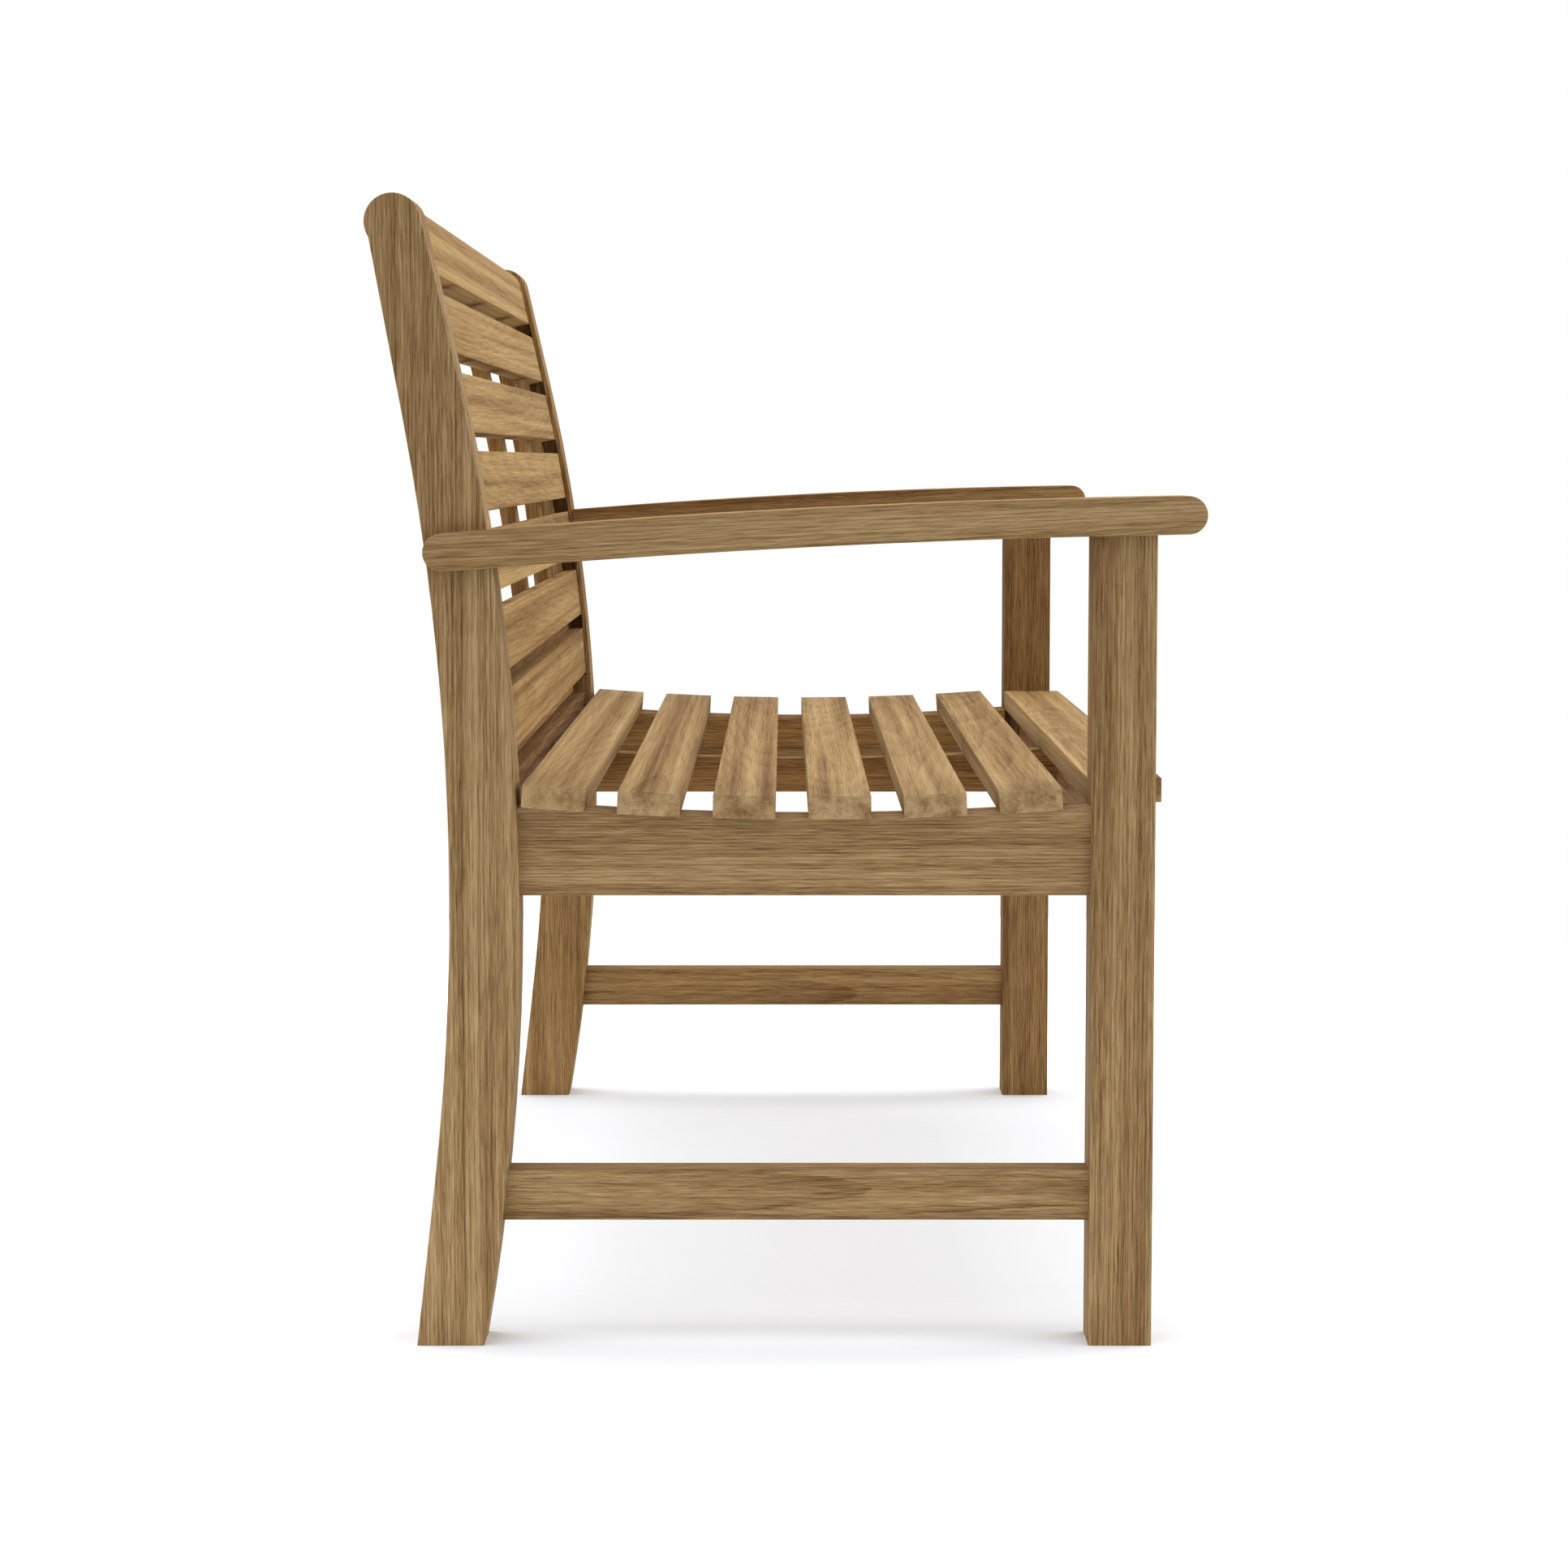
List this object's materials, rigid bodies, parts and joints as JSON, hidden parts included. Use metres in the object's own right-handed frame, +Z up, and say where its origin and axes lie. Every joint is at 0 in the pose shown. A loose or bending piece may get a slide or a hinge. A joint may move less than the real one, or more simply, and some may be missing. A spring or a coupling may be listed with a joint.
{
  "type": "garden bench",
  "caption": "Two-seat hardwood garden bench with flat arms, a dished slatted seat and a bowed back of horizontal slats.",
  "frame": {"origin": "on the ground, under the middle of the bench's outer box", "axes": "+X along the bench to the sitter's left end, +Y to the back, +Z up"},
  "size_m": [1.24, 0.6569, 0.91],
  "materials": {
    "frame_wood": "matte",
    "slat_wood": "matte",
    "peg_wood": "matte",
    "screw_brass": "satin"
  },
  "bodies": {
    "root": {"left_back_post": "frame_wood", "right_back_post": "frame_wood", "left_front_leg": "frame_wood", "right_front_leg": "frame_wood", "left_armrest": "frame_wood", "right_armrest": "frame_wood", "left_side_rail": "frame_wood", "right_side_rail": "frame_wood", "left_stretcher": "frame_wood", "right_stretcher": "frame_wood", "left_seat_cleat": "frame_wood", "right_seat_cleat": "frame_wood", "seat_bearer": "frame_wood", "front_apron": "frame_wood", "rear_rail": "frame_wood", "seat_slat_1": "slat_wood", "seat_slat_2": "slat_wood", "seat_slat_3": "slat_wood", "seat_slat_4": "slat_wood", "seat_slat_5": "slat_wood", "seat_slat_6": "slat_wood", "front_slat": "slat_wood", "crest_rail": "frame_wood", "lower_back_rail": "frame_wood", "back_batten_left": "frame_wood", "back_batten_middle": "frame_wood", "back_batten_right": "frame_wood", "back_slat_1": "slat_wood", "back_slat_2": "slat_wood", "back_slat_3": "slat_wood", "back_slat_4": "slat_wood", "back_slat_5": "slat_wood", "back_slat_6": "slat_wood", "frame_pegs": "peg_wood", "armrest_dowels": "peg_wood", "front_slat_dowels": "peg_wood", "seat_screws": "screw_brass", "cleat_screws": "screw_brass", "back_slat_screws": "screw_brass"}
  },
  "joints": []
}
